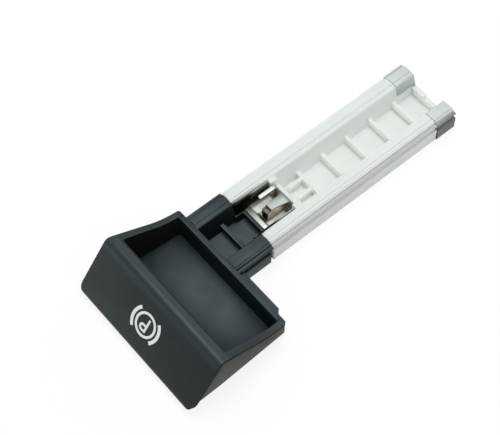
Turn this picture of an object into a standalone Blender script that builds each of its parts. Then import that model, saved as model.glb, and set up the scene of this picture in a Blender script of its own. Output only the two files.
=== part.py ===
"""Parking brake release handle: a finger grip on a slide rail, with the clip that holds the cable's end.

It lies on its face side up, the finger tray open to +Z, the rail running along +Y.
X is across the grip, z = 0 is the plane that it lies on, and y = 0 is half way along it.
"""

import math

import bmesh
import bpy
from mathutils import Vector

MM = 0.001

# Overall sizes
TOTAL_LENGTH = 173.6 * MM
GRIP_DEPTH = 51.0 * MM
GRIP_WIDTH_FRONT = 71.6 * MM
GRIP_WIDTH_BACK = 67.8 * MM

# Rim and face of the grip cover
RIM_BACK_Z = 11.2 * MM
RIM_CURVE_RADIUS = 33.0 * MM
RIM_SLOPE = math.radians(26.1)
RIM_THICKNESS = 1.6 * MM
FACE_LEAN = math.radians(36.9)
FACE_THICKNESS = 2.4 * MM
FACE_TOP_RADIUS = 2.8 * MM
FACE_BOTTOM_RADIUS = 2.0 * MM
FACE_CORNER_RADIUS = 4.5 * MM
FOOT_CORNER_RADIUS = 3.8 * MM
FACE_RETURN = 3.9 * MM
FACE_RETURN_THICKNESS = 1.5 * MM
BACK_CORNER_RADIUS = 1.2 * MM

# Finger tray
TRAY_FLOOR_Z = 2.6 * MM
TRAY_FLOOR_THICKNESS = 1.2 * MM
TRAY_WALL = 1.0 * MM
TRAY_RIM_BACK = 2.3 * MM
TRAY_RIM_SIDE_BACK = 2.5 * MM
TRAY_RIM_SIDE_FRONT = 3.8 * MM
TRAY_LIP = 5.6 * MM
TRAY_DRAFT_BACK = 0.21
TRAY_DRAFT_FRONT = 0.175
TRAY_DRAFT_SIDE_BACK = 0.30
TRAY_DRAFT_SIDE_FRONT = 0.085
TRAY_CORNER_RADIUS = 1.1 * MM

# Grip carrier, the shell under the cover
CARRIER_INSET = 0.45 * MM
CARRIER_SIDE_GAP = 0.4 * MM
CARRIER_FACE_GAP = 0.7 * MM
CARRIER_WALL = 1.3 * MM
CARRIER_FLOOR = 1.1 * MM
CARRIER_DRAFT_BACK = 0.1 * MM
CARRIER_DRAFT_FRONT = 0.9 * MM
CARRIER_EDGE_RADIUS = 2.4 * MM
LEDGE_DEPTH = 2.4 * MM
LEDGE_Z = 9.2 * MM
LEDGE_START = 0.4 * MM
LEDGE_LENGTH = 21.1 * MM

# Slide rail section, measured from the rail's own middle
RAIL_OFFSET_X = -12.7 * MM
RAIL_WIDTH = 33.9 * MM
SHOE_PROUD = 0.4 * MM
CHANNEL_TOP_WIDTH = 18.4 * MM
CHANNEL_FLOOR_WIDTH = 12.3 * MM
CHANNEL_FLOOR_Z = 1.75 * MM
STRIP_INNER = 2.2 * MM
STRIP_WIDTH = 3.2 * MM
STRIP_HEIGHT = 0.35 * MM
RIDGE_WIDTH = 1.45 * MM
RIDGE_DROP = 0.9 * MM
RIDGE_HEIGHT = 0.75 * MM
GROOVE_DEPTH = 0.8 * MM
FLANGE_HEIGHT = 6.8 * MM
FLANGE_PROUD = 0.35 * MM
EDGE_CHAMFER = 0.35 * MM

# Lengths along the rail, from the grip's back
BLACK_ARM_LENGTH = 18.5 * MM
BLACK_TONGUE_LENGTH = 23.1 * MM
TONGUE_CHEEK = 0.8 * MM
BLACK_FLANGE_SHORT = 1.5 * MM
BLACK_RIB = 10.5 * MM
FIRST_WHITE_RIB = 51.8 * MM
RIB_PITCH = 14.0 * MM
WHITE_RIB_COUNT = 5
RIB_THICKNESS = 1.65 * MM
END_RIB_THICKNESS = 1.2 * MM
RIB_TOP_Z = 5.06 * MM
TENON_LENGTH = 6.0 * MM
TENON_WIDTH = 3.6 * MM
TENON_HEIGHT = 4.0 * MM
TENON_Z = 3.4 * MM

# Cable guides and stops moulded in the channel
GUIDE_SPACING = 6.3 * MM
GUIDE_THICKNESS = 1.7 * MM
GUIDE_LENGTH = 7.2 * MM
CLIP_STOP_GAP = 0.4 * MM
CLIP_STOP_Z = 7.2 * MM
CLIP_STOP_HORN_Z = 10.7 * MM
CLIP_STOP_HORN_GAP = 1.0 * MM
CLIP_STOP_HORN_LENGTH = 3.6 * MM
CLIP_STOP_THICKNESS = 1.6 * MM
END_LIP_THICKNESS = 2.3 * MM
END_LIP_RECESS = 0.15 * MM
END_LIP_Z = 5.5 * MM
END_LIP_LOW_Z = 4.4 * MM

# End pads
PAD_LENGTH = 10.6 * MM
PAD_WALL = 1.3 * MM
PAD_CAP = 1.0 * MM
PAD_INNER_Z = 6.0 * MM
PAD_BASE_Z = 0.15 * MM

# Cable clip, bent from one strip of sheet
CLIP_SHEET = 0.6 * MM
CLIP_LIP = 1.7 * MM
CLIP_RAMP = 2.3 * MM
CLIP_LENGTH = 16.2 * MM
CLIP_BEND = 1.5 * MM
CLIP_ROOT_BEND = 2.2 * MM
CLIP_WALL_Z = 10.6 * MM
CLIP_WALL_START = 2.6 * MM
CLIP_WALL_SHORT = 2.4 * MM
CLIP_WING_LENGTH = 7.1 * MM
FINGER_Z = 9.9 * MM
FINGER_LENGTH = 9.7 * MM
FINGER_DROOP = 0.4 * MM
SLOT_BOTTOM_Z = 4.0 * MM
FINGER_NECK_Z = 6.0 * MM
NARROW_FINGER_GAP = 1.9 * MM
NARROW_FINGER_WIDTH = 1.65 * MM
NARROW_FINGER_SPREAD = 0.3 * MM
WIDE_FINGER_LEFT = -0.75 * MM
WIDE_FINGER_WIDTH = 3.3 * MM
WIDE_FINGER_SPREAD = 2.3 * MM
HOOK_INSET = 0.05 * MM
TIP_STEP = 1.1 * MM
TIP_LENGTH = 2.3 * MM
TIP_FOLD = 5.2 * MM

# Clearances
FIT_GAP = 0.3 * MM
JOIN_DEPTH = 0.5 * MM
FILLET_STEPS = 5
TRAY_STEPS = 8

# Places worked out from the sizes
FRONT_Y = -TOTAL_LENGTH / 2
BACK_Y = FRONT_Y + GRIP_DEPTH
END_Y = TOTAL_LENGTH / 2
RAIL_TOP_Z = RIM_BACK_Z
BEYOND = 20.0 * MM


def material(name, colour, roughness, metallic=0.0):
    made = bpy.data.materials.new(name)
    made.use_nodes = True
    shader = made.node_tree.nodes["Principled BSDF"]
    shader.inputs["Base Color"].default_value = (*colour, 1.0)
    shader.inputs["Roughness"].default_value = roughness
    shader.inputs["Metallic"].default_value = metallic
    return made


def mesh_object(name, points, faces, finish=None):
    """A closed mesh object with its faces pointing out."""
    mesh = bpy.data.meshes.new(name)
    mesh.from_pydata([tuple(point) for point in points], [], faces)
    shape = bmesh.new()
    shape.from_mesh(mesh)
    bmesh.ops.recalc_face_normals(shape, faces=shape.faces)
    shape.to_mesh(mesh)
    shape.free()
    made = bpy.data.objects.new(name, mesh)
    bpy.context.scene.collection.objects.link(made)
    if finish is None:
        made.hide_render = True
        made.display_type = "WIRE"
    else:
        mesh.materials.append(finish)
    return made


def loft(name, sections, finish=None):
    """A solid through closed sections that all have the same number of points."""
    count = len(sections[0])
    points = [point for section in sections for point in section]
    faces = [list(range(count)), list(range(len(points) - count, len(points)))]
    for row in range(len(sections) - 1):
        for step in range(count):
            here = row * count + step
            after = row * count + (step + 1) % count
            faces.append([here, after, after + count, here + count])
    return mesh_object(name, points, faces, finish)


def prism(name, outline, axis, start, end, finish=None):
    """An outline pushed along an axis: it holds (y, z) for X, (x, z) for Y and (x, y) for Z."""
    place = {
        "X": lambda a, b, along: (along, a, b),
        "Y": lambda a, b, along: (a, along, b),
        "Z": lambda a, b, along: (a, b, along),
    }[axis]
    sections = [[place(a, b, along) for a, b in outline] for along in (start, end)]
    return loft(name, sections, finish)


def block(name, low, high, finish=None):
    outline = [(low[0], low[1]), (high[0], low[1]), (high[0], high[1]), (low[0], high[1])]
    return prism(name, outline, "Z", low[2], high[2], finish)


def combine(made, other, operation):
    modifier = made.modifiers.new(f"{operation.lower()} {other.name}", "BOOLEAN")
    modifier.operation = operation
    modifier.object = other


def fillet(before, corner, after, radius, steps=FILLET_STEPS):
    """Points of the arc that rounds a corner of an outline."""
    corner = Vector(corner)
    to_before = (Vector(before) - corner).normalized()
    to_after = (Vector(after) - corner).normalized()
    half_angle = to_before.angle(to_after) / 2
    centre = corner + (to_before + to_after).normalized() * radius / math.sin(half_angle)
    start = corner + to_before * radius / math.tan(half_angle) - centre
    end = corner + to_after * radius / math.tan(half_angle) - centre
    turn = start.angle(end)
    points = []
    for step in range(steps + 1):
        share = step / steps
        arm = (start * math.sin((1 - share) * turn) + end * math.sin(share * turn)) / math.sin(turn)
        points.append(tuple(centre + arm))
    return points


def rounded(outline, radii):
    """The outline with each corner rounded by its radius, or left sharp where that is 0."""
    points = []
    for index, (corner, radius) in enumerate(zip(outline, radii)):
        if radius:
            before = outline[index - 1]
            after = outline[(index + 1) % len(outline)]
            points.extend(fillet(before, corner, after, radius))
        else:
            points.append(corner)
    return points


def crossing(first, first_way, second, second_way):
    """Where two lines of the side view meet, each given by a point and a direction."""
    across = first_way[0] * second_way[1] - first_way[1] * second_way[0]
    gap = (second[0] - first[0], second[1] - first[1])
    along = (gap[0] * second_way[1] - gap[1] * second_way[0]) / across
    return (first[0] + first_way[0] * along, first[1] + first_way[1] * along)


# Side view of the grip: directions and lines shared by cover, tray and carrier
RIM_WAY = (-math.cos(RIM_SLOPE), math.sin(RIM_SLOPE))
FACE_WAY = (-math.sin(FACE_LEAN), -math.cos(FACE_LEAN))
RIM_KNEE_RUN = RIM_CURVE_RADIUS * math.sin(RIM_SLOPE)
RIM_KNEE = (
    BACK_Y - RIM_KNEE_RUN,
    RIM_BACK_Z + RIM_CURVE_RADIUS * (1 - math.cos(RIM_SLOPE)),
)
FACE_FOOT = (
    FRONT_Y + FACE_BOTTOM_RADIUS - FACE_BOTTOM_RADIUS / math.tan(math.radians(45) - FACE_LEAN / 2),
    0.0,
)


def rim_line(drop):
    """The rim's straight stretch, lowered by a distance square to it: a point and a direction."""
    return (RIM_KNEE[0] - drop * math.sin(RIM_SLOPE), RIM_KNEE[1] - drop * math.cos(RIM_SLOPE)), RIM_WAY


def face_line(inward):
    """The face, moved inward by a distance square to it: a point and a direction."""
    return (FACE_FOOT[0] + inward / math.cos(FACE_LEAN), FACE_FOOT[1]), FACE_WAY


def rim_curve(drop, back_y):
    """The rim's curved stretch in the side view, from the back to the knee, lowered by a distance."""
    radius = RIM_CURVE_RADIUS + drop
    centre_z = RIM_BACK_Z + RIM_CURVE_RADIUS
    first = math.asin((BACK_Y - back_y) / radius)
    points = []
    for step in range(FILLET_STEPS * 2 + 1):
        angle = first + (RIM_SLOPE - first) * step / (FILLET_STEPS * 2)
        points.append((BACK_Y - radius * math.sin(angle), centre_z - radius * math.cos(angle)))
    return points


def at_height(line, z):
    (y, start_z), way = line
    return (y + way[0] * (z - start_z) / way[1], z)


RIM_EDGE = crossing(*rim_line(0.0), *face_line(0.0))
HALF_FRONT = GRIP_WIDTH_FRONT / 2
HALF_BACK = GRIP_WIDTH_BACK / 2


def cover_side_outline():
    """The cover's rim, face and bottom return in the side view."""
    face_inner = face_line(FACE_THICKNESS)
    foot_inner = at_height(face_inner, FACE_RETURN_THICKNESS)
    return_back = FRONT_Y + FACE_RETURN
    outline = rim_curve(0.0, BACK_Y)
    outline += fillet(RIM_KNEE, RIM_EDGE, FACE_FOOT, FACE_TOP_RADIUS, FILLET_STEPS + 3)
    outline += fillet(RIM_EDGE, FACE_FOOT, (return_back, 0.0), FACE_BOTTOM_RADIUS, FILLET_STEPS + 3)
    outline += [(return_back, 0.0), (return_back, FACE_RETURN_THICKNESS), foot_inner]
    outline.append(crossing(*rim_line(RIM_THICKNESS), *face_inner))
    outline += rim_curve(RIM_THICKNESS, BACK_Y)[::-1]
    return outline


def cover_plan_outline():
    """The cover from above: it widens to the front, and its back corners are rounded."""
    back = fillet(
        (-HALF_BACK, BACK_Y), (HALF_BACK, BACK_Y), (HALF_FRONT, RIM_EDGE[0]), BACK_CORNER_RADIUS
    )
    right = back + [(HALF_FRONT, RIM_EDGE[0]), (HALF_FRONT, FRONT_Y - MM)]
    return right + [(-x, y) for x, y in reversed(right)]


def face_section(outward):
    """The face seen square to it, its lower corners rounded, moved out from the face."""
    bottom_run = FACE_BOTTOM_RADIUS / math.tan(math.radians(45) - FACE_LEAN / 2) - FACE_BOTTOM_RADIUS
    half = HALF_FRONT
    corners = [(half, -2 * GRIP_DEPTH), (half, -bottom_run), (-half, -bottom_run), (-half, -2 * GRIP_DEPTH)]
    points = []
    for x, down in rounded(corners, [0, FACE_CORNER_RADIUS, FACE_CORNER_RADIUS, 0]):
        y = FACE_FOOT[0] + FACE_WAY[0] * down + FACE_WAY[1] * outward
        z = FACE_FOOT[1] + FACE_WAY[1] * down - FACE_WAY[0] * outward
        points.append((x, y, z))
    return points


def with_side_points(outline, corner_count):
    """The rounded outline with points along its straight sides, so that twisted walls stay even."""
    per_corner = len(outline) // corner_count
    points = []
    for corner in range(corner_count):
        arc = outline[corner * per_corner : (corner + 1) * per_corner]
        points += arc
        start = Vector(arc[-1])
        end = Vector(outline[(corner + 1) * per_corner % len(outline)])
        points += [tuple(start.lerp(end, step / TRAY_STEPS)) for step in range(1, TRAY_STEPS)]
    return points


def tray_section(z, outward):
    """A level section of the tray, at a height, moved outward by a wall or a gap."""
    lip_y = RIM_EDGE[0] + TRAY_LIP * math.cos(RIM_SLOPE)
    lip_z = RIM_EDGE[1] - TRAY_LIP * math.sin(RIM_SLOPE)
    back_y = BACK_Y - TRAY_RIM_BACK + TRAY_DRAFT_BACK * (z - RIM_BACK_Z) + outward
    front_y = lip_y - TRAY_DRAFT_FRONT * (z - lip_z) - outward
    back_x = HALF_BACK - TRAY_RIM_SIDE_BACK + TRAY_DRAFT_SIDE_BACK * (z - RIM_BACK_Z) + outward
    front_x = HALF_FRONT - TRAY_RIM_SIDE_FRONT + TRAY_DRAFT_SIDE_FRONT * (z - lip_z) + outward
    corners = [(back_x, back_y), (front_x, front_y), (-front_x, front_y), (-back_x, back_y)]
    outline = rounded(corners, [TRAY_CORNER_RADIUS + outward] * len(corners))
    return [(x, y, z) for x, y in with_side_points(outline, len(corners))]


def tray_loft(name, bottom_z, outward):
    top_z = RIM_EDGE[1] + 2 * MM
    levels = [bottom_z + (top_z - bottom_z) * step / TRAY_STEPS for step in range(TRAY_STEPS + 1)]
    return loft(name, [tray_section(z, outward) for z in levels])


def make_grip_cover(finish):
    """The face, the rim and the finger tray, one moulding."""
    side = BEYOND + HALF_FRONT
    cover = prism("grip_cover", cover_side_outline(), "X", -side, side, finish)
    plan = prism("cover plan", cover_plan_outline(), "Z", -BEYOND, RIM_EDGE[1] + BEYOND)
    combine(cover, plan, "INTERSECT")
    corners = loft("face corners", [face_section(-2 * GRIP_DEPTH), face_section(BEYOND)])
    combine(cover, corners, "INTERSECT")
    top = RIM_EDGE[1] + BEYOND
    wide = HALF_FRONT + MM
    foot = [(HALF_FRONT, 0.0), (wide, top), (-wide, top), (-HALF_FRONT, 0.0)]
    foot = rounded(foot, [FOOT_CORNER_RADIUS, 0, 0, FOOT_CORNER_RADIUS])
    combine(cover, prism("foot corners", foot, "Y", FRONT_Y - BEYOND, BACK_Y + BEYOND), "INTERSECT")
    basin = tray_loft("tray basin", TRAY_FLOOR_Z - TRAY_FLOOR_THICKNESS, TRAY_WALL)
    under = rim_curve(RIM_THICKNESS / 2, BACK_Y)
    under.append(crossing(*rim_line(RIM_THICKNESS / 2), *face_line(FACE_THICKNESS / 2)))
    under += [(under[-1][0], -BEYOND), (BACK_Y, -BEYOND)]
    combine(basin, prism("under the rim", under, "X", -side, side), "INTERSECT")
    combine(cover, basin, "UNION")
    combine(cover, tray_loft("tray hollow", TRAY_FLOOR_Z, 0.0), "DIFFERENCE")
    return cover


def arm_outline(proud, side):
    """One arm of the rail from its inner foot, over the top and down its outer side, as (x, z)."""
    outer = RAIL_WIDTH / 2 + proud
    flange = outer + FLANGE_PROUD
    shoulder_z = RAIL_TOP_Z - STRIP_HEIGHT
    inner_top = CHANNEL_TOP_WIDTH / 2
    strip_start = inner_top + STRIP_INNER
    strip_end = strip_start + STRIP_WIDTH
    ridge_z = shoulder_z - RIDGE_DROP
    groove_top = ridge_z - RIDGE_HEIGHT
    chamfer = EDGE_CHAMFER
    points = [
        (CHANNEL_FLOOR_WIDTH / 2, CHANNEL_FLOOR_Z),
        (inner_top - chamfer / 4, shoulder_z - chamfer),
        (inner_top + chamfer, shoulder_z),
        (strip_start, shoulder_z),
        (strip_start + chamfer / 3, RAIL_TOP_Z),
        (strip_end, RAIL_TOP_Z),
        (strip_end + chamfer / 3, shoulder_z),
        (outer - RIDGE_WIDTH - chamfer, shoulder_z - chamfer / 4),
        (outer - RIDGE_WIDTH, ridge_z),
        (outer - chamfer, ridge_z),
        (outer, ridge_z - chamfer),
        (outer, groove_top),
        (outer - GROOVE_DEPTH, groove_top - chamfer / 2),
        (outer - GROOVE_DEPTH, FLANGE_HEIGHT + chamfer / 2),
        (flange, FLANGE_HEIGHT),
        (flange, chamfer),
        (flange - chamfer, 0.0),
    ]
    return [(RAIL_OFFSET_X + side * x, z) for x, z in points]


def channel_outline(proud):
    """The whole U section of the rail."""
    return arm_outline(proud, 1) + arm_outline(proud, -1)[::-1]


def lone_arm_outline(proud, side, inner):
    """One arm without the channel's floor, its foot cut straight at a distance from the middle."""
    return arm_outline(proud, side) + [(RAIL_OFFSET_X + side * inner, 0.0)]


def wall_half_width(z):
    """Half the channel's width at a height."""
    share = (z - CHANNEL_FLOOR_Z) / (RAIL_TOP_Z - STRIP_HEIGHT - CHANNEL_FLOOR_Z)
    return (CHANNEL_FLOOR_WIDTH + (CHANNEL_TOP_WIDTH - CHANNEL_FLOOR_WIDTH) * share) / 2


def clip_half_width():
    """Half the width of the clip's strip: it reaches into the thickness of its walls."""
    return wall_half_width(CHANNEL_FLOOR_Z + FIT_GAP) - FIT_GAP - CLIP_SHEET / 4


def rib_outline(top_z, into_wall):
    """A rib across the channel, as (x, z): its ends run into the walls, or stop short of them."""
    foot = wall_half_width(CHANNEL_FLOOR_Z) + into_wall
    top = wall_half_width(top_z) + into_wall
    foot_z = CHANNEL_FLOOR_Z - JOIN_DEPTH
    right = [(foot, foot_z), (foot, CHANNEL_FLOOR_Z), (top, top_z)]
    points = right + [(-x, z) for x, z in reversed(right)]
    return [(RAIL_OFFSET_X + x, z) for x, z in points]


def rib_at(name, distance):
    start = BACK_Y + distance
    return prism(name, rib_outline(RIB_TOP_Z, JOIN_DEPTH), "Y", start, start + RIB_THICKNESS)


def tenon(name, side, clearance):
    """The peg that joins a white arm to a black one, or the socket for it when it has a clearance."""
    middle = RAIL_OFFSET_X + side * (CHANNEL_TOP_WIDTH + RAIL_WIDTH) / 4
    half = TENON_WIDTH / 2 + clearance
    start = BACK_Y + BLACK_ARM_LENGTH - TENON_LENGTH - clearance
    end = BACK_Y + BLACK_ARM_LENGTH + FIT_GAP + JOIN_DEPTH
    low = (middle - half, start, TENON_Z - clearance)
    high = (middle + half, end, TENON_Z + TENON_HEIGHT + clearance)
    return block(name, low, high)


def carrier_half_width(y, low):
    """Half the carrier's width at a place along the grip, at its top or at its bottom."""
    share = min(max((BACK_Y - y) / (BACK_Y - RIM_EDGE[0]), 0.0), 1.0)
    half = HALF_BACK + (HALF_FRONT - HALF_BACK) * share - CARRIER_INSET
    return half - (CARRIER_DRAFT_BACK + (CARRIER_DRAFT_FRONT - CARRIER_DRAFT_BACK) * share) * low


def carrier_section(y, inward, floor_z, radius):
    """The carrier's outer or inner form across the grip, at a place along it."""
    low = carrier_half_width(y, 1) - inward
    high = carrier_half_width(y, 0) - inward
    top_z = RIM_EDGE[1] + BEYOND
    top_half = low + (high - low) * top_z / RIM_EDGE[1]
    corners = [(low, floor_z), (top_half, top_z), (-top_half, top_z), (-low, floor_z)]
    outline = rounded(corners, [radius, 0, 0, radius])
    return [(x, y, z) for x, z in outline]


def carrier_side_outline():
    """The carrier in the side view: it stops short of the rim's underside and of the face."""
    drop = RIM_THICKNESS + CARRIER_SIDE_GAP
    front = face_line(FACE_THICKNESS + CARRIER_FACE_GAP)
    foot_z = FACE_RETURN_THICKNESS + CARRIER_SIDE_GAP
    foot_y = FRONT_Y + FACE_RETURN + CARRIER_SIDE_GAP
    back_y = BACK_Y - CARRIER_INSET
    top = rim_curve(drop, back_y)
    outline = fillet((foot_y, 0.0), (back_y, 0.0), top[0], CARRIER_EDGE_RADIUS / 2)
    outline += top
    outline.append(crossing(*rim_line(drop), *front))
    outline += [at_height(front, foot_z), (foot_y, foot_z), (foot_y, 0.0)]
    return outline


def make_grip_carrier(finish):
    """The shell under the cover, with the black end of the rail's channel, one moulding."""
    side = BEYOND + HALF_FRONT
    places = (BACK_Y + BEYOND, BACK_Y, RIM_EDGE[0], FRONT_Y - BEYOND)
    outer = [carrier_section(y, 0.0, 0.0, CARRIER_EDGE_RADIUS) for y in places]
    carrier = loft("grip_carrier", outer, finish)
    combine(carrier, prism("carrier side", carrier_side_outline(), "X", -side, side), "INTERSECT")
    hollow_back = BACK_Y - CARRIER_INSET - CARRIER_WALL
    places = (hollow_back, RIM_EDGE[0], FRONT_Y - BEYOND)
    inner = [
        carrier_section(y, CARRIER_WALL, CARRIER_FLOOR, CARRIER_EDGE_RADIUS - CARRIER_WALL) for y in places
    ]
    combine(carrier, loft("carrier hollow", inner), "DIFFERENCE")
    combine(carrier, tray_loft("tray clearance", CARRIER_FLOOR, TRAY_WALL + FIT_GAP), "DIFFERENCE")

    start = BACK_Y - CARRIER_INSET - JOIN_DEPTH
    arm_end = BACK_Y + BLACK_ARM_LENGTH
    channel = prism("black channel", channel_outline(SHOE_PROUD), "Y", start, arm_end)
    rim_low = RIM_BACK_Z - RIM_THICKNESS - CARRIER_SIDE_GAP
    combine(
        channel,
        block("rim clearance", (-side, start - JOIN_DEPTH, rim_low), (side, BACK_Y + FIT_GAP, BEYOND)),
        "DIFFERENCE",
    )
    for name, direction in (("left", -1), ("right", 1)):
        outer_x = RAIL_OFFSET_X + direction * (RAIL_WIDTH / 2 + SHOE_PROUD + FLANGE_PROUD)
        inner_x = outer_x - direction * (GROOVE_DEPTH + FLANGE_PROUD + EDGE_CHAMFER)
        low = (min(inner_x, outer_x + direction * MM), arm_end - BLACK_FLANGE_SHORT, -MM)
        high = (max(inner_x, outer_x + direction * MM), arm_end + MM, FLANGE_HEIGHT + EDGE_CHAMFER)
        combine(channel, block(f"flange end {name}", low, high), "DIFFERENCE")
        combine(channel, tenon(f"socket {name}", direction, FIT_GAP), "DIFFERENCE")
    combine(carrier, channel, "UNION")

    tongue_half = CHANNEL_FLOOR_WIDTH / 2 - FIT_GAP
    tongue_end = BACK_Y + BLACK_TONGUE_LENGTH
    low = (RAIL_OFFSET_X - tongue_half, arm_end - JOIN_DEPTH, 0.0)
    high = (RAIL_OFFSET_X + tongue_half, tongue_end, CHANNEL_FLOOR_Z)
    combine(carrier, block("tongue", low, high), "UNION")
    combine(carrier, rib_at("black rib", BLACK_RIB), "UNION")
    cheek_start = arm_end - JOIN_DEPTH
    cheeks = prism("tongue cheeks", rib_outline(RIB_TOP_Z, -FIT_GAP), "Y", cheek_start, tongue_end)
    between_cheeks = rib_outline(RIB_TOP_Z + MM, -FIT_GAP - TONGUE_CHEEK)
    rib_start = tongue_end - END_RIB_THICKNESS
    pocket = prism("between the cheeks", between_cheeks, "Y", cheek_start - MM, rib_start)
    combine(cheeks, pocket, "DIFFERENCE")
    combine(carrier, cheeks, "UNION")
    ledge_x = RAIL_OFFSET_X + RAIL_WIDTH / 2 + SHOE_PROUD + FLANGE_PROUD + LEDGE_START
    low = (ledge_x, start, FACE_RETURN_THICKNESS)
    high = (ledge_x + LEDGE_LENGTH, BACK_Y + LEDGE_DEPTH, LEDGE_Z)
    combine(carrier, block("ledge", low, high), "UNION")
    return carrier


def pad_core_outline(side, clearance):
    """What is left of a white arm inside its end pad, as (x, z)."""
    outer = RAIL_WIDTH / 2 + SHOE_PROUD - GROOVE_DEPTH - PAD_WALL - FIT_GAP + clearance
    top_z = RAIL_TOP_Z - STRIP_HEIGHT - PAD_WALL - FIT_GAP + clearance
    inner_top = wall_half_width(top_z) + PAD_WALL + FIT_GAP - clearance
    inner_low = wall_half_width(PAD_INNER_Z) + PAD_WALL + FIT_GAP - clearance
    return [
        (RAIL_OFFSET_X + side * x, z)
        for x, z in ((inner_low, PAD_INNER_Z), (inner_top, top_z), (outer, top_z), (outer, 0.0))
    ]


def make_slide_rail(finish):
    """The white rail, with its ribs, cable guides and end lip, one moulding."""
    arm_start = BACK_Y + BLACK_ARM_LENGTH + FIT_GAP
    floor_start = BACK_Y + BLACK_TONGUE_LENGTH + FIT_GAP
    pad_start = END_Y - PAD_LENGTH - FIT_GAP
    core_end = END_Y - PAD_CAP - FIT_GAP
    rail = prism("slide_rail", channel_outline(0.0), "Y", floor_start, pad_start, finish)
    for name, side in (("left", -1), ("right", 1)):
        foot = CHANNEL_FLOOR_WIDTH / 2
        arm = prism(
            f"arm start {name}",
            lone_arm_outline(0.0, side, foot),
            "Y",
            arm_start,
            floor_start + JOIN_DEPTH,
        )
        combine(rail, arm, "UNION")
        combine(rail, tenon(f"tenon {name}", side, 0.0), "UNION")
        core = pad_core_outline(side, 0.0)
        foot_points = [
            (RAIL_OFFSET_X + side * foot, 0.0),
            (RAIL_OFFSET_X + side * foot, CHANNEL_FLOOR_Z),
            (RAIL_OFFSET_X + side * wall_half_width(PAD_INNER_Z - FIT_GAP), PAD_INNER_Z - FIT_GAP),
            (core[0][0], PAD_INNER_Z - FIT_GAP),
        ]
        combine(
            rail,
            prism(f"core {name}", foot_points + core, "Y", pad_start - JOIN_DEPTH, core_end),
            "UNION",
        )
    floor_half = CHANNEL_FLOOR_WIDTH / 2 + JOIN_DEPTH
    low = (RAIL_OFFSET_X - floor_half, pad_start - JOIN_DEPTH, 0.0)
    high = (RAIL_OFFSET_X + floor_half, core_end, CHANNEL_FLOOR_Z)
    combine(rail, block("end floor", low, high), "UNION")
    lip_end = END_Y - END_LIP_RECESS
    floor_half = CHANNEL_FLOOR_WIDTH / 2 - FIT_GAP
    low = (RAIL_OFFSET_X - floor_half, core_end - JOIN_DEPTH, 0.0)
    high = (RAIL_OFFSET_X + floor_half, lip_end, CHANNEL_FLOOR_Z)
    combine(rail, block("floor end", low, high), "UNION")

    for number in range(WHITE_RIB_COUNT):
        rib = rib_at(f"rib {number + 1}", FIRST_WHITE_RIB + RIB_PITCH * number)
        combine(rail, rib, "UNION")
    guide_end = BACK_Y + FIRST_WHITE_RIB + JOIN_DEPTH
    for name, side in (("left", -1), ("right", 1)):
        middle = RAIL_OFFSET_X + side * GUIDE_SPACING / 2
        low = (middle - GUIDE_THICKNESS / 2, guide_end - JOIN_DEPTH - GUIDE_LENGTH, 0.5 * CHANNEL_FLOOR_Z)
        high = (middle + GUIDE_THICKNESS / 2, guide_end, RIB_TOP_Z)
        combine(rail, block(f"guide {name}", low, high), "UNION")
    stop_start = floor_start + CLIP_LENGTH + CLIP_STOP_GAP
    stop_end = stop_start + CLIP_STOP_THICKNESS
    stop = prism("clip stop", rib_outline(CLIP_STOP_Z, JOIN_DEPTH), "Y", stop_start, stop_end)
    combine(rail, stop, "UNION")
    horn_end = stop_end - EDGE_CHAMFER
    horn_in = clip_half_width() + CLIP_STOP_HORN_GAP
    for name, side in (("left", -1), ("right", 1)):
        horn = [
            (wall_half_width(PAD_INNER_Z) + JOIN_DEPTH, PAD_INNER_Z),
            (wall_half_width(CLIP_STOP_HORN_Z) + JOIN_DEPTH, CLIP_STOP_HORN_Z),
            (horn_in, CLIP_STOP_HORN_Z),
            (horn_in, PAD_INNER_Z),
        ]
        outline = [(RAIL_OFFSET_X + side * x, z) for x, z in horn]
        shape = prism(f"horn {name}", outline, "Y", horn_end - CLIP_STOP_HORN_LENGTH, horn_end)
        combine(rail, shape, "UNION")
    lip_foot = wall_half_width(CHANNEL_FLOOR_Z) - FIT_GAP
    lip_low = wall_half_width(END_LIP_LOW_Z) - FIT_GAP
    lip_high = wall_half_width(END_LIP_Z) - FIT_GAP
    foot_z = CHANNEL_FLOOR_Z - JOIN_DEPTH
    lip = [
        (-lip_foot, CHANNEL_FLOOR_Z),
        (-lip_foot, foot_z),
        (lip_foot, foot_z),
        (lip_foot, CHANNEL_FLOOR_Z),
        (lip_low, END_LIP_LOW_Z),
        (0.0, END_LIP_LOW_Z),
        (0.0, END_LIP_Z),
        (-lip_high, END_LIP_Z),
    ]
    outline = [(RAIL_OFFSET_X + x, z) for x, z in lip]
    combine(rail, prism("end lip", outline, "Y", lip_end - END_LIP_THICKNESS, lip_end), "UNION")
    return rail


def make_end_pad(name, side, finish):
    """The grey glide that caps one arm's end and wraps its top and outer side."""
    start = END_Y - PAD_LENGTH
    outline = arm_outline(SHOE_PROUD, side)
    inner_low = RAIL_OFFSET_X + side * wall_half_width(PAD_INNER_Z)
    outline[0] = (inner_low, PAD_INNER_Z)
    core = pad_core_outline(side, FIT_GAP)
    wrap = outline + [(core[3][0], 0.0), core[2], core[1], (core[0][0], PAD_INNER_Z)]
    pad = prism(name, wrap, "Y", start, END_Y - PAD_CAP / 2, finish)
    cap_outline = lone_arm_outline(SHOE_PROUD, side, CHANNEL_FLOOR_WIDTH / 2)
    combine(pad, prism(f"{name} cap", cap_outline, "Y", END_Y - PAD_CAP, END_Y), "UNION")
    below = (RAIL_OFFSET_X - RAIL_WIDTH, start - MM, -MM)
    above = (RAIL_OFFSET_X + RAIL_WIDTH, END_Y + MM, PAD_BASE_Z)
    combine(pad, block(f"{name} lift", below, above), "DIFFERENCE")
    return pad


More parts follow.
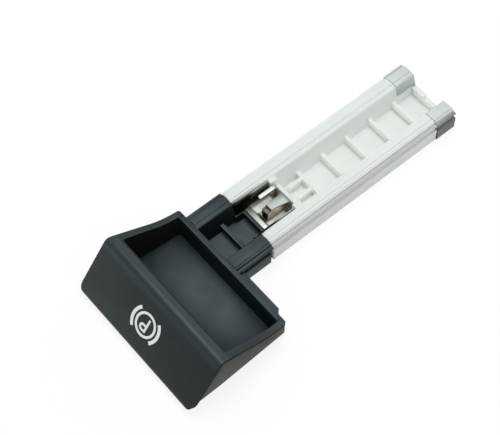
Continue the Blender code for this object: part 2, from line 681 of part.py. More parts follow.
def sheet_outline(middle_line, thickness):
    """A strip of sheet seen from its edge: a line of points, given a thickness on its left side."""
    inner = []
    for index, point in enumerate(middle_line):
        ways = []
        if index:
            ways.append((Vector(point) - Vector(middle_line[index - 1])).normalized())
        if index < len(middle_line) - 1:
            ways.append((Vector(middle_line[index + 1]) - Vector(point)).normalized())
        mean = sum(ways, Vector((0.0, 0.0))).normalized()
        normal = Vector((-mean.y, mean.x))
        shift = thickness / max(normal.dot(Vector((-ways[0].y, ways[0].x))), 0.5)
        inner.append(tuple(Vector(point) + normal * shift))
    return list(middle_line) + inner[::-1]


def clip_wall_outline(side):
    """One of the clip's walls, as (x, z): it leans as the channel's wall does."""
    foot_z = CHANNEL_FLOOR_Z + FIT_GAP + CLIP_SHEET / 5
    foot = wall_half_width(foot_z) - FIT_GAP
    top = wall_half_width(CLIP_WALL_Z) - FIT_GAP
    points = [
        (foot, foot_z),
        (top, CLIP_WALL_Z),
        (top - CLIP_SHEET, CLIP_WALL_Z),
        (foot - CLIP_SHEET, foot_z),
    ]
    return [(RAIL_OFFSET_X + side * x, z) for x, z in points]


def make_cable_clip(finish):
    """The clip for the cable's end: a lip, a ramp, a floor, two walls and two fingers bent back."""
    start = BACK_Y + BLACK_TONGUE_LENGTH + FIT_GAP
    end = start + CLIP_LENGTH
    tip_y = end - FINGER_LENGTH
    floor_z = CHANNEL_FLOOR_Z + FIT_GAP
    lip_z = RIB_TOP_Z - CLIP_SHEET
    ramp_end = start + CLIP_LIP + CLIP_RAMP
    tip_z = FINGER_Z - FINGER_DROOP
    path = [(start, lip_z), (start + CLIP_LIP, lip_z), (ramp_end, floor_z)]
    path += fillet((ramp_end, floor_z), (end, floor_z), (end, FINGER_Z), CLIP_BEND)
    path += fillet((end, floor_z), (end, FINGER_Z), (tip_y, tip_z), CLIP_ROOT_BEND)
    path.append((tip_y, tip_z))
    narrow_left = CLIP_SHEET + FIT_GAP + NARROW_FINGER_GAP - wall_half_width(FINGER_Z)
    left_x = RAIL_OFFSET_X + min(narrow_left, -clip_half_width()) - MM
    right_x = RAIL_OFFSET_X + clip_half_width()
    clip = prism("cable_clip", sheet_outline(path, CLIP_SHEET), "X", left_x, right_x, finish)
    low = (RAIL_OFFSET_X - BEYOND, start - MM, -MM)
    high = (RAIL_OFFSET_X - clip_half_width(), end + MM, FINGER_NECK_Z)
    combine(clip, block("beside the strip", low, high), "DIFFERENCE")

    narrow_right = narrow_left + NARROW_FINGER_WIDTH
    wide_right = WIDE_FINGER_LEFT + WIDE_FINGER_WIDTH
    edges = []
    for at_tip, spread in (
        (-BEYOND, 0),
        (narrow_left, 0),
        (narrow_right, NARROW_FINGER_SPREAD),
        (WIDE_FINGER_LEFT, 0),
        (wide_right, WIDE_FINGER_SPREAD),
        (BEYOND, 0),
    ):
        ends = []
        for y in (tip_y - MM, end + MM):
            share = (y - tip_y) / FINGER_LENGTH
            ends.append((RAIL_OFFSET_X + at_tip + spread * share, y))
        edges.append(ends)
    for name, left, right in zip(("outer slot", "middle slot", "far slot"), edges[::2], edges[1::2]):
        outline = [left[0], right[0], right[1], left[1]]
        slot = prism(name, outline, "Z", SLOT_BOTTOM_Z, FINGER_Z + BEYOND)
        combine(clip, slot, "DIFFERENCE")

    hook_z = tip_z - TIP_STEP
    hook_end = tip_y - TIP_LENGTH
    hook_path = [
        (tip_y + CLIP_SHEET, tip_z - CLIP_SHEET / 4),
        (tip_y, tip_z - CLIP_SHEET / 3),
        (tip_y - CLIP_SHEET, hook_z),
        (hook_end, hook_z),
        (hook_end, hook_z - TIP_FOLD),
    ]
    left_x = RAIL_OFFSET_X + WIDE_FINGER_LEFT + HOOK_INSET
    right_x = RAIL_OFFSET_X + wide_right - HOOK_INSET
    combine(clip, prism("hook", sheet_outline(hook_path, CLIP_SHEET), "X", left_x, right_x), "UNION")

    wall_start = start + CLIP_WALL_START
    wing_start = wall_start - CLIP_WING_LENGTH
    low = (RAIL_OFFSET_X - RAIL_WIDTH, wing_start - MM, -MM)
    high = (RAIL_OFFSET_X + RAIL_WIDTH, wall_start, RIB_TOP_Z + FIT_GAP)
    under_wings = block("under the wings", low, high)
    for name, side in (("left", -1), ("right", 1)):
        wall_end = end - CLIP_WALL_SHORT
        wall = prism(f"clip wall {name}", clip_wall_outline(side), "Y", wing_start, wall_end)
        combine(wall, under_wings, "DIFFERENCE")
        combine(clip, wall, "UNION")
    return clip


def main():
    for old in list(bpy.data.objects):
        bpy.data.objects.remove(old)
    black = material("black moulded plastic", (0.030, 0.035, 0.038), 0.5)
    dark = material("black moulded plastic, carrier", (0.032, 0.035, 0.036), 0.52)
    white = material("white acetal", (0.76, 0.79, 0.77), 0.4)
    grey = material("grey glide plastic", (0.30, 0.33, 0.34), 0.45)
    steel = material("spring steel", (0.62, 0.60, 0.56), 0.28, 1.0)
    make_grip_cover(black)
    make_grip_carrier(dark)
    make_slide_rail(white)
    make_end_pad("end_pad_left", -1, grey)
    make_end_pad("end_pad_right", 1, grey)
    make_cable_clip(steel)


main()
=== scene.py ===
import math

import bmesh
import bpy
import numpy as np
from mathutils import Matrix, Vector


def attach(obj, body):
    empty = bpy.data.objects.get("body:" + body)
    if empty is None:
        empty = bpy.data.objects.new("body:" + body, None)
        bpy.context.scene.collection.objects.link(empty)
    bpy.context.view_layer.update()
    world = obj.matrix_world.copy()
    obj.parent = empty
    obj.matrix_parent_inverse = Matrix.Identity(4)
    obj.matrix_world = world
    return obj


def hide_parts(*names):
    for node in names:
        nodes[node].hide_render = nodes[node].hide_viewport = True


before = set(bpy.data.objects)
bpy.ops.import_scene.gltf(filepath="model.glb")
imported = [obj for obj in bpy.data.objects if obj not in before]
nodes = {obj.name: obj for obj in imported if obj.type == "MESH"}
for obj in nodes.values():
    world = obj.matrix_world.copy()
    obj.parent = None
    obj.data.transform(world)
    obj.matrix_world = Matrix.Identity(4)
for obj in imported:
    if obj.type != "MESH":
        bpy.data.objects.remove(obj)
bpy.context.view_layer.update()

mm = 0.001
railMiddle = -12.7 * mm        # the rail lies left of the grip's middle


def fromHex(code):
    # sRGB hex to linear: a straight part near black, a power of 2.4 above it
    levels = [int(code[i:i + 2], 16) / 255 for i in (1, 3, 5)]
    return tuple(v / 12.92 if v <= 0.04045 else ((v + 0.055) / 1.055) ** 2.4 for v in levels) + (1.0,)


def addNode(tree, kind, settings=None, links=None):
    # settings go to the node's own attributes, or else to its inputs; links come from other outputs
    node = tree.nodes.new("ShaderNode" + kind)
    for key, value in (settings or {}).items():
        if isinstance(key, str) and hasattr(node, key):
            setattr(node, key, value)
        else:
            node.inputs[key].default_value = value
    for key, output in (links or {}).items():
        tree.links.new(output, node.inputs[key])
    return node


def calc(tree, operation, *values, clamp=False):
    # each value is a number or another node's output
    settings = {"operation": operation, "use_clamp": clamp}
    links = {}
    for at, value in enumerate(values):
        if isinstance(value, (int, float)):
            settings[at] = value
        else:
            links[at] = value
    return addNode(tree, "Math", settings, links).outputs[0]


def times(tree, first, *others):
    for other in others:
        first = calc(tree, "MULTIPLY", first, other)
    return first


def ramp(tree, value, low, high, atLow=0.0, atHigh=1.0):
    # a straight line from the low value to the high one, level outside; the low value may be the larger
    settings = {"From Min": low, "From Max": high, "To Min": atLow, "To Max": atHigh}
    return addNode(tree, "MapRange", settings, {"Value": value}).outputs[0]


def between(tree, value, low, high, soft):
    # 1 inside the two limits, fading to 0 over the soft width
    return times(tree, ramp(tree, value, low - soft, low + soft), ramp(tree, value, high + soft, high - soft))


def over(tree, below, share, colour):
    # lays a colour over the one below by its share
    return addNode(tree, "Mix", {"data_type": "RGBA", 7: fromHex(colour)}, {0: share, 6: below}).outputs[2]


def tones(tree, value, low, lowColour, high, highColour):
    # one colour up to the low value, another from the high one on
    node = addNode(tree, "ValToRGB", links={"Fac": value})
    for element, place, colour in zip(node.color_ramp.elements, (low, high), (lowColour, highColour)):
        element.position = place
        element.color = fromHex(colour)
    return node.outputs["Color"]


def noise(tree, where, size, detail, roughness):
    settings = {"Scale": 1 / size, "Detail": detail, "Roughness": roughness}
    return addNode(tree, "TexNoise", settings, {"Vector": where}).outputs["Fac"]


def drift(tree, pattern, middle, less, more):
    # a value that wanders round its middle with a noise; nearly all of a noise lies from 0.3 to 0.7
    return ramp(tree, pattern, 0.3, 0.7, middle - less, middle + more)


def lengthened(tree, where, squeeze):
    # makes a noise's grains long in Y
    return addNode(tree, "Mapping", {"Scale": (1.0, squeeze, 1.0)}, {"Vector": where}).outputs[0]


def distance(tree, where, place, stretch=(1.0, 1.0, 1.0)):
    # how far a point lies from a place, with each direction stretched first
    away = addNode(tree, "VectorMath", {"operation": "SUBTRACT", 1: place}, {0: where}).outputs[0]
    away = addNode(tree, "VectorMath", {"operation": "MULTIPLY", 1: stretch}, {0: away}).outputs[0]
    return addNode(tree, "VectorMath", {"operation": "LENGTH"}, {0: away}).outputs["Value"]


def edgeMask(tree, width, samples, low, high):
    # how far the rounded normal near an edge turns from the face's own, as 0 to 1
    rounded = addNode(tree, "Bevel", {"samples": samples, "Radius": width}).outputs[0]
    flat = addNode(tree, "NewGeometry").outputs["Normal"]
    turn = addNode(tree, "VectorMath", {"operation": "DOT_PRODUCT"}, {0: rounded, 1: flat}).outputs["Value"]
    return ramp(tree, turn, high, low)


def startMaterial(name, settings):
    material = bpy.data.materials.new(name)
    material.use_nodes = True
    shader = material.node_tree.nodes["Principled BSDF"]
    for key, value in settings.items():
        shader.inputs[key].default_value = value
    return material, material.node_tree, shader


def objectPoint(tree):
    # the point on the object as a vector, and as X, Y and Z
    where = addNode(tree, "TexCoord").outputs["Object"]
    return where, addNode(tree, "SeparateXYZ", links={"Vector": where}).outputs


def turned(tree, axis):
    # how far a surface's own direction points along an axis, either way
    normal = addNode(tree, "NewGeometry").outputs["Normal"]
    return calc(tree, "ABSOLUTE", addNode(tree, "SeparateXYZ", links={"Vector": normal}).outputs[axis])


def finishMaterial(tree, shader, outputs, pattern, strength, depth):
    # links the outputs to the shader's inputs and adds a fine bump from a pattern
    bump = addNode(tree, "Bump", {"Strength": strength, "Distance": depth}, {"Height": pattern}).outputs[0]
    for key, output in {**outputs, "Normal": bump}.items():
        tree.links.new(output, shader.inputs[key])


# in the finishes a noise is given as its size, detail and roughness, a zone as from, to and softness,
# and a fade as the place where it is nothing and the place where it is full

blackFinish = {
    "colour": "#14181a", "wornAt": 0.75, "ior": 1.53, "cloud": (14 * mm, 3.0, 0.55), "drift": (0.04, 0.05),
    "edge": (0.45 * mm, 6, 0.93, 0.995),      # polished edges: width, samples, and how far the normal turns
    "sideTurn": (0.55, 0.9), "topSheen": 0.5, "grainBump": 0.55,
}
gripFinish = {
    **blackFinish, "worn": "#323c3f", "sheen": "#d2eaf2", "roughness": 0.47,
    "grain": (0.32 * mm, 2.0, 0.6), "grainDepth": 0.012 * mm,      # a little coarse, so that it shows
    "sideColour": "#191a18", "sideSheen": 0.02,                    # the thin side faces lie in shade
    # the tray's middle, rubbed smoother by fingertips and painted lighter as a painted highlight; the rest of
    # its floor gets less sheen, painted shade
    "polish": (2 * mm, -49.5 * mm, 3 * mm), "polishStretch": (0.8, 1.8, 1.0),
    "polishReach": (27 * mm, 8 * mm), "polishBy": 0.03, "polishHighlight": "#1b2123",
    "trayTop": (9.5 * mm, 8.5 * mm), "trayFront": (-65.75 * mm, -64.75 * mm), "trayShade": 0.33,
    # the face's upper part: more sheen, a painted highlight
    "brow": (20 * mm, 22.5 * mm), "browBack": (-65.75 * mm, -66.75 * mm), "browHighlight": 0.26,
    # shaded lines along the rim's inner edges, front and side; the side ones run together to the back
    "rimFront": (-66.05 * mm, -65.45 * mm, 0.1 * mm), "rimEnd": (32.3 * mm, 32.0 * mm),
    "rimFoot": (15 * mm, 16 * mm),
    "rimSide": (29.4 * mm, 30.0 * mm, 0.1 * mm), "rimTaper": 0.036,
    "rimSideFront": (-65.85 * mm, -65.75 * mm), "rimSideFoot": (9 * mm, 9.5 * mm), "rimDull": 0.3,
}
carrierFinish = {
    **blackFinish, "worn": "#333d40", "sheen": "#cfe9ef", "roughness": 0.42,
    # the carrier's side faces darker too, painted shade
    "grain": (0.2 * mm, 2.0, 0.6), "grainDepth": 0.006 * mm, "sideColour": "#101111", "sideSheen": 0.4,
    # painted light: the grip's own flanks are painted lighter and warmer, standing in for the light off the
    # table
    "flank": (31 * mm, 32 * mm), "flankFoot": (0.0, 4 * mm), "flankLight": "#44423a", "flankSheen": 0.08,
}


def blackPlastic(name, look):
    # black moulding from a spark-eroded mould: fine matt grain, soft sheen, edges polished a shade lighter
    settings = {"IOR": look["ior"], "Specular Tint": fromHex(look["sheen"])}
    material, tree, shader = startMaterial(name, settings)
    where, place = objectPoint(tree)
    cloud = noise(tree, where, *look["cloud"])
    wear = times(tree, edgeMask(tree, *look["edge"]), cloud)
    tone = tones(tree, wear, 0.0, look["colour"], look["wornAt"], look["worn"])
    roughness = drift(tree, cloud, look["roughness"], *look["drift"])
    # the tray's middle: smoother, and lighter in colour as a painted highlight
    if "polish" in look:
        near = ramp(tree, distance(tree, where, look["polish"], look["polishStretch"]), *look["polishReach"])
        tone = over(tree, tone, near, look["polishHighlight"])
        roughness = calc(tree, "MULTIPLY_ADD", near, -look["polishBy"], roughness)

    # faces turned along X: a darker colour and less sheen, painted shade
    sideways = ramp(tree, turned(tree, "X"), *look["sideTurn"])
    tone = over(tree, tone, sideways, look["sideColour"])
    shine = ramp(tree, sideways, 0.0, 1.0, look["topSheen"], look["sideSheen"])
    across = calc(tree, "ABSOLUTE", place["X"])
    # the grip's outer flanks painted lighter and warmer: painted light off the table
    if "flank" in look:
        flank = times(tree, sideways, ramp(tree, across, *look["flank"]))
        aboveFoot = times(tree, flank, ramp(tree, place["Z"], *look["flankFoot"]))
        tone = over(tree, tone, aboveFoot, look["flankLight"])
        shine = calc(tree, "MULTIPLY_ADD", flank, look["flankSheen"] - look["sideSheen"], shine)

    if "polish" in look:
        # the tray's floor away from its middle: less sheen, painted shade
        inTray = ramp(tree, place["Z"], *look["trayTop"])
        inTray = times(tree, inTray, ramp(tree, place["Y"], *look["trayFront"]))
        unrubbedShade = times(tree, ramp(tree, near, 1.0, 0.0), inTray)
        shine = calc(tree, "MULTIPLY_ADD", unrubbedShade, -look["trayShade"], shine, clamp=True)
        # the face's upper part: more sheen, a painted highlight
        brow = times(tree, ramp(tree, place["Z"], *look["brow"]), ramp(tree, place["Y"], *look["browBack"]))
        brow = times(tree, brow, ramp(tree, sideways, 1.0, 0.0))
        shine = calc(tree, "MULTIPLY_ADD", brow, look["browHighlight"], shine)
        frontLine = times(tree, between(tree, place["Y"], *look["rimFront"]),
                          ramp(tree, across, *look["rimEnd"]), ramp(tree, place["Z"], *look["rimFoot"]))
        tapered = calc(tree, "MULTIPLY_ADD", place["Y"], look["rimTaper"], across)
        sideLine = times(tree, between(tree, tapered, *look["rimSide"]),
                         ramp(tree, place["Y"], *look["rimSideFront"]),
                         ramp(tree, place["Z"], *look["rimSideFoot"]))
        line = calc(tree, "MAXIMUM", frontLine, sideLine)
        tone = over(tree, tone, line, look["sideColour"])
        shine = calc(tree, "MULTIPLY_ADD", line, -look["rimDull"], shine, clamp=True)
    outputs = {"Base Color": tone, "Roughness": roughness, "Specular IOR Level": shine}
    grain = noise(tree, where, *look["grain"])
    finishMaterial(tree, shader, outputs, grain, look["grainBump"], look["grainDepth"])
    return material


acetalFinish = {
    "colour": "#dde2e0", "colourAt": 0.62, "shade": "#d5dbd7", "shadeAt": 0.3,
    "roughness": 0.38, "drift": (0.04, 0.08), "ior": 1.48,
    "glow": 0.5, "glowDepth": 2.2 * mm, "glowRadius": (1.0, 0.9, 0.8),       # light that passes inside
    "wall": "#f3f6f3", "wallTurn": (0.5, 0.2),        # painted light: thin upright walls painted lighter
    "rib": "#fffff2", "ribTurn": (0.6, 0.8),          # painted light: faces along Y, such as the ribs' sides, painted nearly white
    # painted shade along the steps of the right side: share, zone across, zone in height
    "stepShade": "#8d928f", "steps": (
        (0.55, (15.1 * mm, 17.0 * mm, 0.1 * mm), (9.3 * mm, 10.2 * mm, 0.1 * mm)),       # ledge
        (0.22, (17.1 * mm, 18.0 * mm, 0.1 * mm), (-1.0 * mm, 9.3 * mm, 0.1 * mm)),       # flange
        (0.28, (13.0 * mm, 13.6 * mm, 0.1 * mm), (10.2 * mm, 20.4 * mm, 0.1 * mm)),      # seam
    ),
    # a darker band along the left arm's inner edge above the clip, fading towards the rail's end
    "edgeBand": "#3a3936", "edgeBandShare": 0.7,
    "edgeBandSide": (-10.3 * mm, -8.4 * mm, 0.3 * mm), "edgeBandReach": (1.0 * mm, -15.0 * mm),
    # darker where the clip's wings reach in beside the black arms
    "wingDark": "#1d1b19", "wingDarkFrom": (-15.0 * mm, -16.0 * mm),
    "wingDarkSide": (10.5 * mm, 10.3 * mm), "wingDarkTop": (10.9 * mm, 10.6 * mm),
    "flow": (22 * mm, 4.0, 0.6), "flowSqueeze": 0.35, "grain": (0.5 * mm, 2.0, 0.5), "grainShare": 0.25,
    # an ejector pin's faint ring
    "pin": (-11.2 * mm, 67.9 * mm, 1.75 * mm), "pinEdge": (2.08 * mm, 2.32 * mm),
    "bump": 0.5, "bumpDepth": 0.024 * mm,
}


def acetal(name, look):
    # natural white acetal, moulded: waxy, slightly translucent look, faint flow marks, low sheen
    material, tree, shader = startMaterial(name, {
        "IOR": look["ior"], "Subsurface Weight": look["glow"],
        "Subsurface Radius": look["glowRadius"], "Subsurface Scale": look["glowDepth"],
    })
    where, place = objectPoint(tree)
    flow = noise(tree, lengthened(tree, where, look["flowSqueeze"]), *look["flow"])
    tone = tones(tree, flow, look["shadeAt"], look["shade"], look["colourAt"], look["colour"])
    # upright walls painted lighter: painted light
    tone = over(tree, tone, ramp(tree, turned(tree, "Z"), *look["wallTurn"]), look["wall"])
    # faces along Y painted nearly white: painted light
    tone = over(tree, tone, ramp(tree, turned(tree, "Y"), *look["ribTurn"]), look["rib"])
    across = calc(tree, "SUBTRACT", place["X"], railMiddle)
    # the steps and grooves of the right side darkened: painted shade
    for share, sides, heights in look["steps"]:
        step = times(tree, between(tree, across, *sides), between(tree, place["Z"], *heights), share)
        tone = over(tree, tone, step, look["stepShade"])
    # a darker band along the left arm's inner edge
    edgeBand = times(tree, between(tree, across, *look["edgeBandSide"]),
                  ramp(tree, place["Y"], *look["edgeBandReach"]), look["edgeBandShare"])
    tone = over(tree, tone, edgeBand, look["edgeBand"])
    side = calc(tree, "ABSOLUTE", across)
    # darker where the clip's wings reach in beside the black arms
    wingDark = times(tree, ramp(tree, place["Y"], *look["wingDarkFrom"]), ramp(tree, side, *look["wingDarkSide"]),
                   ramp(tree, place["Z"], *look["wingDarkTop"]))
    tone = over(tree, tone, wingDark, look["wingDark"])
    ring = ramp(tree, distance(tree, where, look["pin"]), *look["pinEdge"])
    height = calc(tree, "MULTIPLY_ADD", noise(tree, where, *look["grain"]), look["grainShare"], ring)
    outputs = {"Base Color": tone, "Roughness": drift(tree, flow, look["roughness"], *look["drift"])}
    finishMaterial(tree, shader, outputs, height, look["bump"], look["bumpDepth"])
    return material


glideFinish = {
    "colour": "#c4cccb", "colourAt": 0.25, "dirtAndShade": "#33373a", "ior": 1.48, "roughness": 0.32,
    "streak": (0.9 * mm, 4.0, 0.65), "streakSqueeze": 0.08, "streakTop": 20 * mm,
    "streakBump": 0.4, "streakDepth": 0.02 * mm,
    "outer": (15.6 * mm, 16.1 * mm), "outerTop": (10.6 * mm, 10.0 * mm), "outerDirtAndShade": 0.46,
    "left": 1.0 * mm, "leftShare": 0.4,                  # the left pad's outer side is darkened less
    "groove": (6.9 * mm, 9.3 * mm, 0.2 * mm), "grooveLighter": 0.4,
    "low": (10.6 * mm, 0.0), "lowDirtAndShade": 0.23,
}


def glidePlastic(name, look):
    # grey glide pad, filled acetal, rubbed in use: long fine streaks; darker on the outer side and low down,
    # partly grease and partly painted shade
    material, tree, shader = startMaterial(name, {"IOR": look["ior"], "Roughness": look["roughness"]})
    where, place = objectPoint(tree)
    streak = noise(tree, lengthened(tree, where, look["streakSqueeze"]), *look["streak"])
    across = calc(tree, "SUBTRACT", place["X"], railMiddle)
    # the outer side darker, partly grease and partly painted shade
    outside = times(tree, ramp(tree, calc(tree, "ABSOLUTE", across), *look["outer"]),
                    ramp(tree, place["Z"], *look["outerTop"]))
    outside = times(tree, outside, ramp(tree, across, -look["left"], look["left"], look["leftShare"], 1.0))
    inGroove = between(tree, place["Z"], *look["groove"])
    outside = times(tree, outside, calc(tree, "MULTIPLY_ADD", inGroove, -look["grooveLighter"], 1.0))
    streaked = times(tree, streak, ramp(tree, place["Z"], look["streakTop"], 0.0))
    dirtAndShade = calc(tree, "MULTIPLY_ADD", outside, look["outerDirtAndShade"], streaked)
    # darker towards the bottom, partly grease and partly painted shade
    dirtAndShade = calc(tree, "MULTIPLY_ADD", ramp(tree, place["Z"], *look["low"]), look["lowDirtAndShade"], dirtAndShade, clamp=True)
    tone = tones(tree, dirtAndShade, look["colourAt"], look["colour"], 1.0, look["dirtAndShade"])
    finishMaterial(tree, shader, {"Base Color": tone}, streak, look["streakBump"], look["streakDepth"])
    return material


steelFinish = {
    "colour": "#b7bbb5", "roughness": 0.44, "drift": (0.06, 0.1),
    "line": (0.25 * mm, 3.0, 0.6), "lineSqueeze": 0.05, "lineBump": 0.3, "lineDepth": 0.01 * mm,
    # the floor, up to a height, with brown blotches as painted shade and reflection, and two stripes as
    # painted highlights
    "floor": (0.0, 3.9 * mm, 0.2 * mm),
    "floorShading": "#857862", "floorShadingBlot": (3 * mm, 3.0, 0.5), "floorShadingShare": (0.3, 0.62, 0.55, 1.0),
    "stripeHighlight": "#fffef8", "stripeEnds": (-9.8 * mm, 0.6 * mm, 0.5 * mm),
    "stripes": ((-5.9 * mm, -2.7 * mm, 0.18 * mm), (3.15 * mm, 5.45 * mm, 0.18 * mm)),
    # front lip, dull at its left
    "lip": "#5d605c", "lipFrom": (-10.4 * mm, -10.7 * mm), "lipFoot": (4.0 * mm, 4.5 * mm),
    "lipShade": (6 * mm, -7 * mm),
    # wide finger, dull all over
    "finger": "#878f8c", "fingerShade": 0.8,
    "fingerSides": (-1.5 * mm, 4.5 * mm, 0.1 * mm), "fingerFoot": (8.0 * mm, 8.3 * mm),
    # hook at the wide finger's tip, darker, darkest where it is folded down
    "hook": "#5c5759", "hookFront": "#2a2725",
    "hookEnds": (-9.0 * mm, -6.0 * mm, 0.08 * mm), "hookSides": (-1.5 * mm, 3.2 * mm, 0.1 * mm),
    "hookFoot": (3.6 * mm, 3.9 * mm), "hookFold": (8.3 * mm, 7.6 * mm),
    # walls painted near black, a painted reflection of the dark channel; the right one only at its upper edge
    "wallReflection": "#1f1c19", "wallFrom": (6.3 * mm, 6.7 * mm), "wallLeft": (6.3 * mm, -6.3 * mm),
    "rightWallTop": (9.2 * mm, 9.4 * mm), "wallLow": (12.5 * mm, 8.0 * mm), "wallDark": (-2.0 * mm, -9.0 * mm),
}


def springSteel(name, look):
    # cold-rolled spring strip, satin: rolling lines along it, with painted highlights, painted shade and
    # painted reflections by place
    material, tree, shader = startMaterial(name, {})
    where, place = objectPoint(tree)
    line = noise(tree, lengthened(tree, where, look["lineSqueeze"]), *look["line"])
    blot = noise(tree, where, *look["floorShadingBlot"])
    across = calc(tree, "SUBTRACT", place["X"], railMiddle)
    base = addNode(tree, "RGB").outputs[0]
    base.default_value = fromHex(look["colour"])

    onFloor = between(tree, place["Z"], *look["floor"])
    # brown blotches on the floor: painted shade and reflection
    tone = over(tree, base, times(tree, ramp(tree, blot, *look["floorShadingShare"]), onFloor), look["floorShading"])
    # two stripes painted white and less metallic: painted highlights
    lengthways = between(tree, place["Y"], *look["stripeEnds"])
    highlighted = 0.0
    for stripe in look["stripes"]:
        band = times(tree, between(tree, across, *stripe), lengthways, onFloor)
        tone = over(tree, tone, band, look["stripeHighlight"])
        highlighted = calc(tree, "MAXIMUM", highlighted, band)

    lip = times(tree, ramp(tree, place["Y"], *look["lipFrom"]), ramp(tree, place["Z"], *look["lipFoot"]),
                ramp(tree, across, *look["lipShade"]))
    tone = over(tree, tone, lip, look["lip"])
    finger = times(tree, between(tree, across, *look["fingerSides"]),
                   ramp(tree, place["Z"], *look["fingerFoot"]), look["fingerShade"])
    tone = over(tree, tone, finger, look["finger"])
    hook = times(tree, between(tree, place["Y"], *look["hookEnds"]),
                 between(tree, across, *look["hookSides"]), ramp(tree, place["Z"], *look["hookFoot"]))
    tone = over(tree, tone, hook, look["hook"])
    folded = times(tree, hook, ramp(tree, place["Z"], *look["hookFold"]))
    tone = over(tree, tone, folded, look["hookFront"])

    # walls painted near black: a painted reflection of the dark channel
    wall = ramp(tree, calc(tree, "ABSOLUTE", across), *look["wallFrom"])
    toLeft = ramp(tree, across, *look["wallLeft"])
    wall = times(tree, wall, calc(tree, "MAXIMUM", toLeft, ramp(tree, place["Z"], *look["rightWallTop"])))
    low = ramp(tree, place["Z"], *look["wallLow"])
    wall = times(tree, wall, calc(tree, "MAXIMUM", low, ramp(tree, place["Y"], *look["wallDark"])))
    tone = over(tree, tone, wall, look["wallReflection"])
    roughness = drift(tree, line, look["roughness"], *look["drift"])
    outputs = {"Base Color": tone, "Metallic": calc(tree, "SUBTRACT", 1.0, highlighted), "Roughness": roughness}
    finishMaterial(tree, shader, outputs, line, look["lineBump"], look["lineDepth"])
    return material


inkFinish = {
    "colour": "#f8fcfb", "colourAt": 0.45, "thin": "#eaf0ef", "thinAt": 0.3, "roughness": 0.42,
    "speckle": (0.35 * mm, 2.0, 0.5), "bump": 0.3, "bumpDepth": 0.01 * mm,
}


def printInk(name, look):
    # white pad-printed ink: thin matt film that takes the grain under it and is a touch thinner in spots
    material, tree, shader = startMaterial(name, {"Roughness": look["roughness"]})
    speckle = noise(tree, objectPoint(tree)[0], *look["speckle"])
    tone = tones(tree, speckle, look["thinAt"], look["thin"], look["colourAt"], look["colour"])
    finishMaterial(tree, shader, {"Base Color": tone}, speckle, look["bump"], look["bumpDepth"])
    return material


blackGrain = blackPlastic("black ABS, spark eroded", gripFinish)
blackPlain = blackPlastic("black filled nylon, moulded", carrierFinish)
whiteAcetal = acetal("white acetal, moulded", acetalFinish)
greyGlide = glidePlastic("grey filled acetal, rubbed", glideFinish)
brightSteel = springSteel("spring steel, rolled", steelFinish)
whiteInk = printInk("white ink, pad printed", inkFinish)
print("materials made")


# moulded and bent pieces

weldWithin = 0.003 * mm
flatWithin = 0.6            # degrees


def softenedCopy(nodeName, pieceName, material, look):
    # the node's own shape with its moulded or rolled edges rounded by a small radius
    mesh = nodes[nodeName].data.copy()
    shape = bmesh.new()
    shape.from_mesh(mesh)
    bmesh.ops.remove_doubles(shape, verts=shape.verts, dist=weldWithin)
    flat = math.radians(flatWithin)
    bmesh.ops.dissolve_limit(shape, angle_limit=flat, verts=shape.verts, edges=shape.edges)
    shape.to_mesh(mesh)
    shape.free()
    mesh.materials.clear()
    mesh.materials.append(material)
    mesh.polygons.foreach_set("use_smooth", np.ones(len(mesh.polygons), bool))
    piece = bpy.data.objects.new(pieceName, mesh)
    bpy.context.scene.collection.objects.link(piece)
    bevel = piece.modifiers.new("edges", "BEVEL")
    bevel.width = look["radius"]
    bevel.segments = look["segments"]
    bevel.limit_method = "ANGLE"
    bevel.angle_limit = math.radians(look["angle"])
    bevel.harden_normals = True
    bevel.use_clamp_overlap = True
    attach(piece, "root")
    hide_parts(nodeName)


gripCoverLook = {"radius": 0.3 * mm, "segments": 3, "angle": 30}
softenedCopy("grip_cover", "grip_cover_look", blackGrain, gripCoverLook)

carrierLook = {"radius": 0.22 * mm, "segments": 3, "angle": 30}
softenedCopy("grip_carrier", "grip_carrier_look", blackPlain, carrierLook)

railLook = {"radius": 0.2 * mm, "segments": 3, "angle": 24}
softenedCopy("slide_rail", "slide_rail_look", whiteAcetal, railLook)

padLook = {"radius": 0.25 * mm, "segments": 3, "angle": 24}
softenedCopy("end_pad_left", "end_pad_left_look", greyGlide, padLook)
softenedCopy("end_pad_right", "end_pad_right_look", greyGlide, padLook)

clipLook = {"radius": 0.1 * mm, "segments": 2, "angle": 30}
softenedCopy("cable_clip", "cable_clip_look", brightSteel, clipLook)
print("moulded and bent pieces made")


symbolLook = {
    "foot": (-0.5 * mm, -88.803 * mm, 0.0),      # where the face's plane meets the table
    "up": 15.75 * mm, "lean": 36.9,
    "ringOut": 5.56 * mm, "ringIn": 4.44 * mm, "ringSteps": 120,
    "bracketMid": 7.3 * mm, "bracketWidth": 1.5 * mm, "bracketHalf": 43.5, "bracketSteps": 40,
    # the letter P: its stem's place and half length, its bowl's start, centre and radius
    "stroke": 1.0 * mm, "stem": 0.98 * mm, "stemHalf": 3.3 * mm,
    "bowlFrom": 0.48 * mm, "bowlMid": (-0.85 * mm, 1.6 * mm), "bowlRadius": 1.2 * mm, "bowlSteps": 24,
    "film": 0.02 * mm, "lift": 0.015 * mm,
}


def circlePart(degrees, radius):
    # points round a circle: cosine and sine of each turn, times the radius
    turn = np.radians(degrees)
    return np.stack([np.cos(turn), np.sin(turn)], 1) * radius


